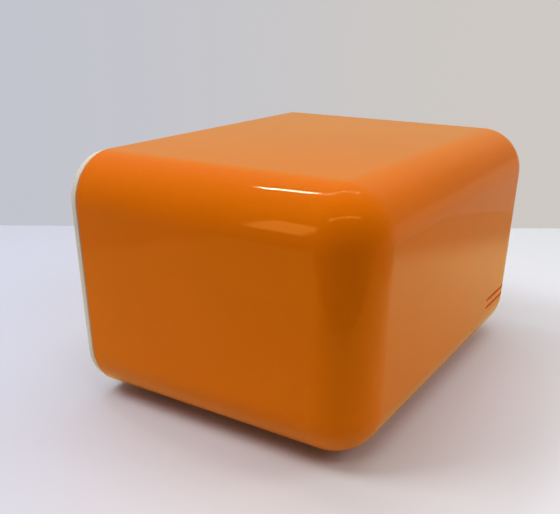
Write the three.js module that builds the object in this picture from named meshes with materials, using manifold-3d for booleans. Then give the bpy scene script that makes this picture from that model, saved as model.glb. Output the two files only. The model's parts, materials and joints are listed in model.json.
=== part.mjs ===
// Tabletop bubble machine: a one-piece rounded case, open at the front, closed by a front panel that carries
// a dipping wand wheel, its gearbox, a centrifugal blower, a rotary switch and a battery box.
// Millimetres. +X is to the right of someone facing the front, +Y runs from the front to the back, +Z is up.
// The origin is on the table, under the middle of the overall length and width.
import * as THREE from "three";
import { mergeVertices } from "three/addons/utils/BufferGeometryUtils.js";
import Module from "manifold-3d";

const wasm = await Module();
wasm.setup();

// ---- driving dimensions ----
const CASE = { width: 198, height: 112, depth: 139, corner: 22, wall: 2.8 };
const FOOT = { height: 3, radius: 4.8, x: 76, frontY: -36, rearY: 46, stem: 2, barb: 3, hole: 2.3 };
const MARK = { left: -81, right: -52, lines: [27, 31.5], height: 1.8, depth: 0.6 };
const PANEL = {
  proud: 5, inset: 1, plate: 3, skirt: 3, edge: 1.6, gap: 1.4,
  lip: 2, lipLength: 8, lipPlay: 0.4,
};
const PANEL_SCREW = { x: 76, y: -53, head: 2.8, shank: 1.4, clearHole: 1.8, pilotHole: 1.7, block: 4.5 };
const HATCH = { sideLedge: 3, endLedge: 4 };
const RAIL = { low: 0.4, lipTop: 0.9, thickness: 1.2, reach: 1.4, play: 0.1 };
const KNOB = { x: 50, z: 86, radius: 18, depth: 15, gap: 1, skirt: 4, wall: 2, stem: 5.2, bore: 3.15 };
const SWITCH = { radius: 12, depth: 10, thread: 4.5, panelHole: 4.8, shaft: 3, nut: 7, nutThickness: 1.8 };
const CLEAR = 0.3; // gap between touching pieces
const SIDES = [-1, 1];

const depthOverall = CASE.depth + PANEL.proud + KNOB.gap + KNOB.depth;
const BACK = depthOverall / 2;
const RIM = BACK - CASE.depth; // plane of the case's open front edge
const FACE = RIM - PANEL.proud; // outer face of the front panel
const PANEL_BACK = FACE + PANEL.plate;
const BOTTOM = FOOT.height;
const MIDDLE = BOTTOM + CASE.height / 2;
const FLOOR = BOTTOM + CASE.wall; // inner floor of the case

const WHEEL = {
  x: -48, z: 57, front: -53.7, back: -48.5,
  wands: 8, ringRadius: 28, wandOuter: 9.5, wandInner: 7.4,
};
const HUB = { radius: 7, nose: 1.3, tail: 1, spokeStart: 6, spokeDepth: 3.4, spokeWidth: 3 };
const WINDOW = { radius: 40.5, bezelInner: 38.5, bezelOuter: 43.5, bezelProud: 2.5 };
const TROUGH = { inner: 41, wall: 2, top: 40, front: -60.5, back: -38 };
const HOOD_WALL = 1.5;
const SEAL = { radius: 4.7, bore: 5, lip: 3.6, tail: 3.2 };
const BULKHEAD = { front: -37, back: -34.5, left: -92, right: 14, low: 9, high: 108, corner: 12 };
const POST = { radius: 4, pilotHole: 1.5, clearHole: 1.8, places: [[-86, 97], [-86, 17], [6, 97], [6, 17]] };
const BULKHEAD_SCREW = { head: 3, headHeight: 2.2, shank: 1.3, length: 10 };
const GRILLE = {
  x: 50, z: 40, width: 76, height: 42,
  slats: 8, slatHeight: 2, flange: 2, frame: 2, proud: 1.5,
};

const GEAR = { module: 0.7, large: 35, small: 10, backlash: 0.07, face: 4 };
const GEAR_STEP = (GEAR.module * (GEAR.large + GEAR.small)) / 2;
const LAYERS = [-31.4, -26.6, -21.8]; // front of each gear layer
const GEARBOX = {
  front: -34.2, wall: 1.2, base: 1.9, end: -17.3, cover: 2, half: 14.75,
  ear: 3.5, earThickness: 3,
};
const GEARBOX_SCREW = { head: 2.3, shank: 1.2, hole: 1.5 };
const BUSH = { radius: 3.5, length: 1.9 };
const SHAFT = { radius: 2, pin: 1, play: 0.15 };
const WHEEL_MOTOR = { radius: 10, length: 24.5, collar: 3, tail: 8 };

const BLOWER = {
  y: 33, z: 60, impeller: 25, width: 28.3, wall: 1.8, left: -63,
  outletTop: 97, outletLow: 73,
};
const SCROLL = { start: 28, throatDegrees: 298, throatY: 24.7, steps: 24, inlet: 17 };
const FAN = {
  blades: 16, bladeLength: 6, bladeThickness: 1, bladeTwist: 0.6,
  disc: 1.5, ring: 3, hub: 5, hubLength: 12, play: 1.5,
};
const BLOWER_MOTOR = { radius: 12, length: 27, collar: 3, tail: 9 };
const NOZZLE = {
  inner: 11, wall: 1.5, z: 85, front: -40,
  flangeY: -12.3, flange: 2, flangeLow: 72, flangeTop: 98,
};
const BATTERY = { left: 11, right: 69, front: -2.5, back: 57.5, top: 62, wall: 1.8, cell: 13, length: 50 };
const CONTACT = { thickness: 0.6, half: 9, springRadius: 6.5, springTaper: 2.5, springTurns: 2.6, wire: 0.4 };
const COVER = {
  play: 0.2, low: 1.2,
  ridges: 3, ridgePitch: 3, ridgeLow: 0.6, ridgeWidth: 1.2, ridgeLeft: 32, ridgeRight: 48,
};
const LEAD_RADIUS = 0.9;

// ---- materials ----
const plastic = (color, roughness) => new THREE.MeshStandardMaterial({ color, roughness, metalness: 0 });
const metal = (color, roughness) => new THREE.MeshStandardMaterial({ color, roughness, metalness: 1 });
const MATERIAL = {
  orange: plastic(0xd86a05, 0.15),
  cream: plastic(0xe8dfc4, 0.3),
  charcoal: plastic(0x2c2a28, 0.5),
  white: plastic(0xdcd8cc, 0.5),
  rubber: plastic(0x1c1b1a, 0.85),
  steel: metal(0xb5b7ba, 0.3),
  brass: metal(0xc2a152, 0.35),
  cell: plastic(0x32569a, 0.35),
  red: plastic(0xb3201c, 0.5),
  black: plastic(0x141414, 0.5),
};

// ---- helpers ----
const root = new THREE.Group();

function addPart(name, geometry, material, position = [0, 0, 0]) {
  const mesh = new THREE.Mesh(geometry, material);
  mesh.name = name;
  mesh.position.set(...position);
  root.add(mesh);
  return mesh;
}

// A three.js geometry as a manifold solid, for the pieces that are joined or cut.
function solid(geometry, x = 0, y = 0, z = 0) {
  const bare = geometry.index ? geometry.toNonIndexed() : geometry.clone();
  bare.deleteAttribute("normal");
  bare.deleteAttribute("uv");
  bare.translate(x, y, z);
  const merged = mergeVertices(bare, 1e-4);
  const mesh = new wasm.Mesh({
    numProp: 3,
    vertProperties: merged.attributes.position.array,
    triVerts: new Uint32Array(merged.index.array),
  });
  return new wasm.Manifold(mesh);
}

function geometryOf(manifold) {
  const mesh = manifold.getMesh();
  const positions = new Float32Array(mesh.numVert * 3);
  for (let i = 0; i < mesh.numVert; i++) {
    positions.set(mesh.vertProperties.subarray(i * mesh.numProp, i * mesh.numProp + 3), i * 3);
  }
  const geometry = new THREE.BufferGeometry();
  geometry.setAttribute("position", new THREE.BufferAttribute(positions, 3));
  geometry.setIndex(new THREE.BufferAttribute(mesh.triVerts, 1));
  return geometry;
}

const join = (first, ...others) => others.reduce((sum, piece) => sum.add(piece), first);
const cut = (first, ...others) => others.reduce((rest, piece) => rest.subtract(piece), first);

function boxBetween(x0, x1, y0, y1, z0, z1) {
  const geometry = new THREE.BoxGeometry(x1 - x0, y1 - y0, z1 - z0);
  return geometry.translate((x0 + x1) / 2, (y0 + y1) / 2, (z0 + z1) / 2);
}

// A cylinder along Y between two depths, at (x, z).
function rodY(radius, y0, y1, x, z, sides = 24) {
  const geometry = new THREE.CylinderGeometry(radius, radius, y1 - y0, sides);
  return geometry.translate(x, (y0 + y1) / 2, z);
}

// A cylinder along X between two sides, at (y, z).
function rodX(radius, x0, x1, y, z, sides = 24) {
  const geometry = new THREE.CylinderGeometry(radius, radius, x1 - x0, sides).rotateZ(Math.PI / 2);
  return geometry.translate((x0 + x1) / 2, y, z);
}

// A cylinder standing along Z between two heights, at (x, y).
function rodZ(radius, z0, z1, x, y, sides = 16) {
  const geometry = new THREE.CylinderGeometry(radius, radius, z1 - z0, sides).rotateX(Math.PI / 2);
  return geometry.translate(x, y, (z0 + z1) / 2);
}

function roundedRectangle(width, height, radius) {
  const [w, h] = [width / 2, height / 2];
  const shape = new THREE.Shape();
  shape.moveTo(w - radius, -h);
  shape.absarc(w - radius, -h + radius, radius, -Math.PI / 2, 0);
  shape.absarc(w - radius, h - radius, radius, 0, Math.PI / 2);
  shape.absarc(-w + radius, h - radius, radius, Math.PI / 2, Math.PI);
  shape.absarc(-w + radius, -h + radius, radius, Math.PI, 1.5 * Math.PI);
  shape.closePath();
  return shape;
}

// An outline drawn in X and Z, given thickness along Y from y0 to y1.
function plateXZ(shape, y0, y1, curveSegments = 6) {
  const geometry = new THREE.ExtrudeGeometry(shape, { depth: y1 - y0, bevelEnabled: false, curveSegments });
  return geometry.rotateX(Math.PI / 2).translate(0, y1, 0);
}

// An outline drawn in Y and Z, given thickness along X from x0 to x1.
function plateYZ(shape, x0, x1, curveSegments = 6) {
  const geometry = new THREE.ExtrudeGeometry(shape, { depth: x1 - x0, bevelEnabled: false, curveSegments });
  return geometry.rotateX(Math.PI / 2).rotateZ(Math.PI / 2).translate(x0, 0, 0);
}

// A rounded box along Y whose back edges are rounded over; its front is cut square at frontY.
function roundedBlock(width, height, radius, frontY, backY, segments) {
  const round = radius - 0.05;
  const geometry = new THREE.ExtrudeGeometry(roundedRectangle(width, height, radius), {
    depth: backY - frontY,
    bevelThickness: round,
    bevelSize: round,
    bevelOffset: -round,
    bevelSegments: segments,
    curveSegments: segments,
  });
  geometry.rotateX(Math.PI / 2).translate(0, backY - round, MIDDLE);
  const front = boxBetween(-width, width, frontY - 3 * width, frontY, -height, 2 * height);
  return cut(solid(geometry), solid(front));
}

// A gear about Y with its first tooth, or first gap, towards +X. Flanks are straight from root to tip.
function gear(teeth, y0, y1, x, z, startsWithGap) {
  const pitch = (GEAR.module * teeth) / 2;
  const base = pitch * Math.cos(Math.PI / 9);
  const involute = (r) => {
    const angle = Math.acos(Math.min(1, base / r));
    return Math.tan(angle) - angle;
  };
  const halfTooth = (r) => Math.PI / (2 * teeth) + involute(pitch) - involute(r) - GEAR.backlash / pitch;
  const tip = pitch + 0.9 * GEAR.module;
  const rootRadius = pitch - 1.2 * GEAR.module;
  const flankRoot = Math.max(base, rootRadius);
  const turn = startsWithGap ? Math.PI / teeth : 0;
  const shape = new THREE.Shape();
  for (let i = 0; i < teeth; i++) {
    const middle = (2 * Math.PI * i) / teeth + turn;
    const corners = [[rootRadius, -halfTooth(flankRoot)], [tip, -halfTooth(tip)], [tip, halfTooth(tip)],
      [rootRadius, halfTooth(flankRoot)]];
    for (const [r, angle] of corners) {
      const point = [r * Math.cos(middle + angle), r * Math.sin(middle + angle)];
      if (i === 0 && angle === corners[0][1]) shape.moveTo(...point);
      else shape.lineTo(...point);
    }
  }
  shape.closePath();
  return plateXZ(shape, y0, y1).translate(x, 0, z);
}

function tube(points, radius, sides = 6, steps = 20) {
  const curve = new THREE.CatmullRomCurve3(points.map((p) => new THREE.Vector3(...p)));
  const section = new THREE.Shape();
  for (let i = 0; i < sides; i++) {
    const angle = (2 * Math.PI * i) / sides;
    const point = [radius * Math.cos(angle), radius * Math.sin(angle)];
    if (i === 0) section.moveTo(...point);
    else section.lineTo(...point);
  }
  section.closePath();
  return new THREE.ExtrudeGeometry(section, { steps, extrudePath: curve, bevelEnabled: false });
}

// ---- case ----
function buildCase() {
  const { width, height, corner, wall } = CASE;
  const outer = roundedBlock(width, height, corner, RIM, BACK, 7);
  const inner = roundedBlock(width - 2 * wall, height - 2 * wall, corner - wall, RIM - 1, BACK - wall, 6);
  const through = [BOTTOM - 1, FLOOR + 1];
  const { sideLedge, endLedge } = HATCH;
  const hatch = boxBetween(BATTERY.left + sideLedge, BATTERY.right - sideLedge, BATTERY.front + endLedge,
    BATTERY.back - endLedge, ...through);
  const footHoles = footPlaces().map(([, x, y]) => solid(rodZ(FOOT.hole, ...through, x, y)));
  const screwHoles = SIDES.map((side) => {
    return solid(rodZ(PANEL_SCREW.clearHole, ...through, side * PANEL_SCREW.x, PANEL_SCREW.y));
  });
  const marks = MARK.lines.map((z) => markLine(z));
  const moulding = cut(outer, inner, solid(hatch), ...footHoles, ...screwHoles, ...marks);
  const rails = SIDES.map((side) => coverRail(side));
  addPart("case_shell", geometryOf(join(moulding, ...rails, coverStop())), MATERIAL.orange);
}

// One of the two rails under the floor that the battery cover slides in.
function coverRail(side) {
  const middle = (BATTERY.left + BATTERY.right) / 2;
  const edge = (BATTERY.right - BATTERY.left) / 2;
  const span = (a, b) => (side > 0 ? [middle + a, middle + b] : [middle - b, middle - a]);
  const { low, lipTop, thickness, reach, play } = RAIL;
  const along = [BATTERY.front, BATTERY.back];
  const web = boxBetween(...span(edge + play, edge + thickness), ...along, low, BOTTOM + 0.5);
  const lip = boxBetween(...span(edge - reach, edge + thickness), ...along, low, lipTop);
  return join(solid(web), solid(lip));
}

// The ledge that the closed battery cover comes up against.
function coverStop() {
  const { left, right, front } = BATTERY;
  const { low, thickness, play } = RAIL;
  const across = [left - thickness, right + thickness];
  return solid(boxBetween(...across, front - thickness, front + play, low, BOTTOM + 0.5));
}

// One of the two plain lines sunk low into the back.
function markLine(z) {
  const { left, right, height, depth } = MARK;
  return solid(boxBetween(left, right, BACK - depth, BACK + 1, z - height / 2, z + height / 2));
}

function footPlaces() {
  const { x, frontY, rearY } = FOOT;
  return [
    ["front_left", -x, frontY],
    ["front_right", x, frontY],
    ["rear_left", -x, rearY],
    ["rear_right", x, rearY],
  ];
}

// ---- front panel ----
// The plate of the panel with its rounded front edge, hollow behind.
function panelShell() {
  const { inset, skirt, edge, gap } = PANEL;
  const [width, height, radius] = [CASE.width - 2 * inset, CASE.height - 2 * inset, CASE.corner - inset];
  const slab = new THREE.ExtrudeGeometry(roundedRectangle(width, height, radius), {
    depth: 2 * PANEL.proud,
    bevelThickness: edge,
    bevelSize: edge,
    bevelOffset: -edge,
    bevelSegments: 3,
    curveSegments: 8,
  }).rotateX(-Math.PI / 2).translate(0, FACE + edge, MIDDLE);
  const behind = boxBetween(-width, width, RIM - gap, RIM + width, -height, 2 * height);
  const hollow = roundedRectangle(width - 2 * skirt, height - 2 * skirt, radius - skirt);
  return cut(solid(slab), solid(behind), solid(plateXZ(hollow, PANEL_BACK, RIM, 8), 0, 0, MIDDLE));
}

// The collar behind the panel that fits inside the case.
function panelLip() {
  const inset = CASE.wall + PANEL.lipPlay;
  const outline = (extra) => roundedRectangle(
    CASE.width - 2 * (inset + extra),
    CASE.height - 2 * (inset + extra),
    CASE.corner - inset - extra,
  );
  const end = RIM + PANEL.lipLength;
  return cut(
    solid(plateXZ(outline(0), PANEL_BACK - 0.5, end, 8), 0, 0, MIDDLE),
    solid(plateXZ(outline(PANEL.lip), PANEL_BACK - 1, end + 1, 8), 0, 0, MIDDLE),
  );
}

// A block inside the lip that takes one of the two screws from below.
function screwBlock(side) {
  const { x, y, block } = PANEL_SCREW;
  const across = [side * x - block, side * x + block];
  return solid(boxBetween(...across, PANEL_BACK - 0.5, y + block, FLOOR + 0.7, FLOOR + 12));
}

function panelHoles() {
  const through = [FACE - 1, RIM];
  const { x, z, width, height } = GRILLE;
  return [
    rodY(WINDOW.radius, ...through, WHEEL.x, WHEEL.z, 48),
    rodY(SWITCH.panelHole, ...through, KNOB.x, KNOB.z, 20),
    boxBetween(x - width / 2, x + width / 2, ...through, z - height / 2, z + height / 2),
    ...POST.places.map(([u, v]) => rodY(POST.pilotHole, BULKHEAD.front - 12, BULKHEAD.front, u, v, 12)),
    ...SIDES.map((side) => {
      return rodZ(PANEL_SCREW.pilotHole, FLOOR, FLOOR + 10.5, side * PANEL_SCREW.x, PANEL_SCREW.y, 12);
    }),
  ].map((hole) => solid(hole));
}

function buildPanel() {
  const posts = POST.places.map(([x, z]) => {
    return solid(rodY(POST.radius, PANEL_BACK - 0.5, BULKHEAD.front - CLEAR, x, z, 16));
  });
  const blocks = SIDES.map((side) => screwBlock(side));
  const whole = join(panelShell(), panelLip(), ...posts, ...blocks);
  addPart("front_panel", geometryOf(cut(whole, ...panelHoles())), MATERIAL.cream);
}

function buildPanelTrim() {
  const front = FACE - WINDOW.bezelProud;
  const bezelDepth = WINDOW.bezelProud + PANEL.plate - 0.2;
  const profile = [
    [WINDOW.bezelInner, bezelDepth], [WINDOW.bezelInner, 0.8], [WINDOW.bezelInner + 0.8, 0],
    [WINDOW.bezelOuter - 1.2, 0], [WINDOW.bezelOuter, 1.2], [WINDOW.bezelOuter, WINDOW.bezelProud - CLEAR],
    [WINDOW.radius - CLEAR, WINDOW.bezelProud - CLEAR], [WINDOW.radius - CLEAR, bezelDepth],
    [WINDOW.bezelInner, bezelDepth],
  ].map(([r, y]) => new THREE.Vector2(r, y));
  addPart("window_bezel", new THREE.LatheGeometry(profile, 40), MATERIAL.orange, [WHEEL.x, front, WHEEL.z]);

  const { x, z, slats, slatHeight, flange, frame, proud } = GRILLE;
  const [w, h] = [GRILLE.width / 2, GRILLE.height / 2];
  const window = (grow, y0, y1) => {
    return solid(boxBetween(x - w - grow, x + w + grow, y0, y1, z - h - grow, z + h + grow));
  };
  const rim = cut(window(flange, FACE - proud, FACE - CLEAR), window(-frame, FACE - 2, FACE));
  const sleeve = cut(window(-CLEAR, FACE - 1, PANEL_BACK), window(-frame, FACE - 2, PANEL_BACK + 1));
  const pitch = (2 * h - 2 * frame) / slats;
  const bars = [];
  for (let i = 1; i < slats; i++) {
    const low = z - h + frame + i * pitch - slatHeight / 2;
    bars.push(solid(boxBetween(x - w + 1, x + w - 1, FACE - 1, PANEL_BACK - 0.5, low, low + slatHeight)));
  }
  addPart("intake_grille", geometryOf(join(rim, sleeve, ...bars)), MATERIAL.orange);
}

// ---- wet side: trough, splash hood, bulkhead, wand wheel ----
// The lower part of a disc about the wheel's axis, cut off level at a height.
function halfDisc(radius, top, extra = 0) {
  const dip = WHEEL.z - top;
  const slope = Math.asin(dip / radius);
  const reach = radius * Math.cos(slope);
  const shape = new THREE.Shape();
  shape.absarc(0, 0, radius, Math.PI + slope, 2 * Math.PI - slope);
  if (extra) {
    shape.lineTo(reach, extra - dip);
    shape.lineTo(-reach, extra - dip);
  }
  shape.closePath();
  return shape;
}

function buildWetSide() {
  const { inner, wall, top, front, back } = TROUGH;
  const outside = plateXZ(halfDisc(inner + wall, top), front, back, 20);
  const inside = plateXZ(halfDisc(inner, top, 5), front + wall, back - wall, 20);
  const trough = cut(solid(outside, WHEEL.x, 0, WHEEL.z), solid(inside, WHEEL.x, 0, WHEEL.z));
  addPart("solution_trough", geometryOf(trough), MATERIAL.cream);

  const start = -Math.asin((WHEEL.z - top - CLEAR) / (inner + HOOD_WALL));
  const hood = new THREE.Shape();
  hood.absarc(0, 0, inner + HOOD_WALL, start, Math.PI - start);
  hood.absarc(0, 0, inner, Math.PI - start, start, true);
  hood.closePath();
  const hoodGeometry = plateXZ(hood, front, BULKHEAD.front - CLEAR, 28);
  addPart("splash_hood", hoodGeometry, MATERIAL.charcoal, [WHEEL.x, 0, WHEEL.z]);

  buildBulkhead();
}

function buildBulkhead() {
  const { left, right, low, high, corner, front, back } = BULKHEAD;
  const plate = plateXZ(roundedRectangle(right - left, high - low, corner), front, back, 5);
  const centre = [(left + right) / 2, 0, (low + high) / 2];
  const through = [front - 1, back + 1];
  const holes = [
    rodY(NOZZLE.inner + NOZZLE.wall + CLEAR, ...through, WHEEL.x, NOZZLE.z, 28),
    rodY(SEAL.bore, ...through, WHEEL.x, WHEEL.z, 20),
    ...POST.places.map(([x, z]) => rodY(POST.clearHole, ...through, x, z, 12)),
    ...GEARBOX_SCREWS.map(([x, z]) => rodY(GEARBOX_SCREW.hole, ...through, x, z, 12)),
  ].map((hole) => solid(hole));
  addPart("bulkhead", geometryOf(cut(solid(plate, ...centre), ...holes)), MATERIAL.charcoal);

  const { radius, lip, tail } = SEAL;
  const inside = SHAFT.radius + SHAFT.play;
  const sealProfile = [[inside, -1.5], [lip, -1.5], [lip, -0.3], [radius, -0.3], [radius, 2.2], [tail, 2.2],
    [inside, 0.8], [inside, -1.5]].map(([r, y]) => new THREE.Vector2(r, y));
  addPart("shaft_seal", new THREE.LatheGeometry(sealProfile, 20), MATERIAL.rubber, [WHEEL.x, front, WHEEL.z]);

  POST.places.forEach(([x, z], i) => {
    const { head: headRadius, headHeight, shank: shankRadius, length } = BULKHEAD_SCREW;
    const head = rodY(headRadius, back + CLEAR, back + headHeight, x, z, 12);
    const shank = rodY(shankRadius, back - length, back + 1, x, z, 10);
    addPart(`bulkhead_screw_${i + 1}`, geometryOf(join(solid(head), solid(shank))), MATERIAL.steel);
  });
}

function buildWheel() {
  const { x, z, ringRadius, wandOuter, wandInner, wands, front, back } = WHEEL;
  const { radius, nose, tail, spokeStart, spokeDepth, spokeWidth } = HUB;
  let wheel = solid(rodY(radius, front - nose, back + tail, x, z, 24));
  const openings = [];
  for (let i = 0; i < wands; i++) {
    const angle = (2 * Math.PI * i) / wands + Math.PI / 2;
    const [cx, cz] = [x + ringRadius * Math.cos(angle), z + ringRadius * Math.sin(angle)];
    wheel = wheel.add(solid(rodY(wandOuter, front, back, cx, cz, 20)));
    openings.push(solid(rodY(wandInner, front - 2, back + 2, cx, cz, 20)));
    const length = ringRadius - wandInner - spokeStart;
    const spoke = new THREE.BoxGeometry(length, spokeDepth, spokeWidth);
    spoke.translate(spokeStart + length / 2, 0, 0).rotateY(-angle);
    wheel = wheel.add(solid(spoke, x, (front + back) / 2, z));
  }
  const bore = solid(rodY(SHAFT.radius + SHAFT.play, front + 1, back + 5, x, z, 16));
  addPart("wand_wheel", geometryOf(cut(wheel, ...openings, bore)), MATERIAL.orange);
  addPart("wheel_shaft", rodY(SHAFT.radius, front + 1.3, GEARBOX.end - 1, x, z, 16), MATERIAL.steel);
}

// ---- gearbox ----
const gearX = (step) => WHEEL.x + step * GEAR_STEP;
const MOTOR_X = gearX(3);
const PIN_STEPS = [1, 2];
const EAR_REACH = GEARBOX.half + 2.9;
const GEARBOX_SCREWS = [[WHEEL.x - EAR_REACH, WHEEL.z], [gearX(1.5), WHEEL.z - EAR_REACH],
  [gearX(1.5), WHEEL.z + EAR_REACH]];

function stadium(half, reach) {
  const shape = new THREE.Shape();
  shape.absarc(reach, 0, half, -Math.PI / 2, Math.PI / 2);
  shape.absarc(0, 0, half, Math.PI / 2, 1.5 * Math.PI);
  shape.closePath();
  return shape;
}

function ear([x, z], y0, y1) {
  return solid(rodY(GEARBOX.ear, y0, y1, x, z, 16));
}

function buildGearbox() {
  const { front, wall, base, end, cover, half, earThickness } = GEARBOX;
  const reach = 3 * GEAR_STEP;
  const pinHole = SHAFT.pin + SHAFT.play;
  const outside = solid(plateXZ(stadium(half, reach), front, end, 12), WHEEL.x, 0, WHEEL.z);
  const inside = solid(plateXZ(stadium(half - wall, reach), front + base, end + 1, 12), WHEEL.x, 0, WHEEL.z);
  const ears = GEARBOX_SCREWS.map((place) => ear(place, front, front + earThickness));
  const pinSockets = PIN_STEPS.map((step) => {
    return solid(rodY(2.2, front, LAYERS[step - 1] - CLEAR, gearX(step), WHEEL.z, 14));
  });
  const holes = [
    solid(rodY(BUSH.radius + CLEAR, front - 1, LAYERS[0], WHEEL.x, WHEEL.z, 20)),
    ...PIN_STEPS.map((step) => solid(rodY(pinHole, front + 0.8, LAYERS[1], gearX(step), WHEEL.z, 12))),
    ...GEARBOX_SCREWS.map(([x, z]) => solid(rodY(GEARBOX_SCREW.hole, front - 1, front + 4, x, z, 12))),
  ];
  const body = cut(join(cut(join(outside, ...ears), inside), ...pinSockets), ...holes);
  addPart("gearbox_case", geometryOf(body), MATERIAL.white);

  const coverY = end + CLEAR;
  const plate = solid(plateXZ(stadium(half, reach), coverY, coverY + cover, 12), WHEEL.x, 0, WHEEL.z);
  const lid = join(plate, solid(rodY(4, coverY - 4, coverY + 1, WHEEL.x, WHEEL.z, 20)));
  const lidHoles = [
    solid(rodY(SHAFT.radius + 0.2, coverY - 5, coverY + 0.5, WHEEL.x, WHEEL.z, 16)),
    ...PIN_STEPS.map((step) => solid(rodY(pinHole, coverY - 1, coverY + 5, gearX(step), WHEEL.z, 12))),
    solid(rodY(3.4, coverY - 1, coverY + 5, MOTOR_X, WHEEL.z, 20)),
  ];
  addPart("gearbox_cover", geometryOf(cut(lid, ...lidHoles)), MATERIAL.white);

  const bore = SHAFT.radius + 0.1;
  const bush = [[bore, 0], [BUSH.radius, 0], [BUSH.radius, BUSH.length], [bore, BUSH.length], [bore, 0]]
    .map(([r, y]) => new THREE.Vector2(r, y));
  addPart("shaft_bush", new THREE.LatheGeometry(bush, 20), MATERIAL.brass, [WHEEL.x, front, WHEEL.z]);

  GEARBOX_SCREWS.forEach(([x, z], i) => {
    const head = rodY(GEARBOX_SCREW.head, front + earThickness + CLEAR, front + 5, x, z, 12);
    const shank = rodY(GEARBOX_SCREW.shank, BULKHEAD.front + 0.2, front + 4, x, z, 10);
    addPart(`gearbox_screw_${i + 1}`, geometryOf(join(solid(head), solid(shank))), MATERIAL.steel);
  });
}

function buildGears() {
  const { large, small, face } = GEAR;
  const bore = (step, radius) => solid(rodY(radius, -40, 0, gearX(step), WHEEL.z, 16));
  const output = solid(gear(large, LAYERS[0], LAYERS[0] + face, gearX(0), WHEEL.z, false));
  const boss = solid(rodY(4.5, LAYERS[0] - 0.6, LAYERS[0] + face, gearX(0), WHEEL.z, 16));
  const outputGear = cut(join(output, boss), bore(0, SHAFT.radius + SHAFT.play));
  addPart("output_gear", geometryOf(outputGear), MATERIAL.white);

  ["second_gear", "first_gear"].forEach((name, i) => {
    const step = i + 1;
    const big = solid(gear(large, LAYERS[step], LAYERS[step] + face, gearX(step), WHEEL.z, false));
    const little = solid(gear(small, LAYERS[i], LAYERS[step] + 0.5, gearX(step), WHEEL.z, true));
    addPart(name, geometryOf(cut(join(big, little), bore(step, SHAFT.pin + 0.25))), MATERIAL.white);
    const pin = rodY(SHAFT.pin, GEARBOX.front + 1, GEARBOX.end + CLEAR + 1.8, gearX(step), WHEEL.z, 12);
    addPart(`${name}_pin`, pin, MATERIAL.steel);
  });

  const pinion = solid(gear(small, LAYERS[2], LAYERS[2] + face, MOTOR_X, WHEEL.z, true));
  const spindle = solid(rodY(SHAFT.pin, LAYERS[2] - 0.4, GEARBOX.end + 4, MOTOR_X, WHEEL.z, 12));
  addPart("motor_pinion", geometryOf(join(pinion, spindle)), MATERIAL.brass);

  const motorFront = GEARBOX.end + 2 * CLEAR + GEARBOX.cover;
  const { radius, length, collar: collarRadius, tail: tailRadius } = WHEEL_MOTOR;
  const can = solid(rodY(radius, motorFront, motorFront + length, MOTOR_X, WHEEL.z, 24));
  const collar = solid(rodY(collarRadius, motorFront - 1.6, motorFront + 1, MOTOR_X, WHEEL.z, 20));
  const motorBack = motorFront + length;
  const tail = solid(rodY(tailRadius, motorBack - 0.5, motorBack + 2, MOTOR_X, WHEEL.z, 20));
  const hole = solid(rodY(SHAFT.pin + 0.3, motorFront - 3, motorFront + 4, MOTOR_X, WHEEL.z, 12));
  addPart("wheel_motor", geometryOf(cut(join(can, collar, tail), hole)), MATERIAL.steel);
}

// ---- blower ----
// Outline of the scroll in Y and Z: the spiral runs from over the impeller, round the back, to the throat.
function scroll(grow) {
  const { y, z, outletTop, outletLow } = BLOWER;
  const mouth = NOZZLE.flangeY + NOZZLE.flange + CLEAR;
  const points = [[mouth, outletTop + grow]];
  const { start, throatDegrees, throatY, steps } = SCROLL;
  for (let i = 0; i <= steps; i++) {
    const angle = THREE.MathUtils.degToRad((throatDegrees * i) / steps);
    const radius = outletTop - z - ((outletTop - z - start) * i) / steps + grow;
    points.push([y + radius * Math.sin(angle), z + radius * Math.cos(angle)]);
  }
  points.push([y - throatY - grow, outletLow - grow], [mouth, outletLow - grow]);
  return new THREE.Shape(points.map(([u, v]) => new THREE.Vector2(u, v)));
}

// The impeller: a disc and a ring joined by swept blades, on a hub.
function fan() {
  const { y, z, impeller, width, wall, left } = BLOWER;
  const { blades, bladeLength, bladeThickness, bladeTwist, disc, ring, hub, hubLength, play } = FAN;
  const discRight = left + width - play;
  const ringLeft = left + wall + play;
  const plate = solid(rodX(impeller, discRight - disc, discRight, y, z, 28));
  const rim = cut(
    solid(rodX(impeller, ringLeft, ringLeft + disc, y, z, 28)),
    solid(rodX(impeller - ring, ringLeft - 1, ringLeft + 2 * disc, y, z, 28)),
  );
  const vanes = [];
  for (let i = 0; i < blades; i++) {
    const blade = new THREE.BoxGeometry(discRight - ringLeft - 1, bladeLength, bladeThickness);
    blade.rotateX(bladeTwist).translate((discRight + ringLeft) / 2, 0, impeller - 2.6);
    vanes.push(solid(blade.rotateX((2 * Math.PI * i) / blades), 0, y, z));
  }
  const boss = solid(rodX(hub, discRight - hubLength, discRight, y, z, 16));
  const bore = solid(rodX(SHAFT.pin + SHAFT.play, discRight - 20, discRight + 5, y, z, 12));
  const envelope = solid(rodX(impeller, left, left + width, y, z, 28));
  return cut(join(plate, rim, ...vanes, boss).intersect(envelope), bore);
}

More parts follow.
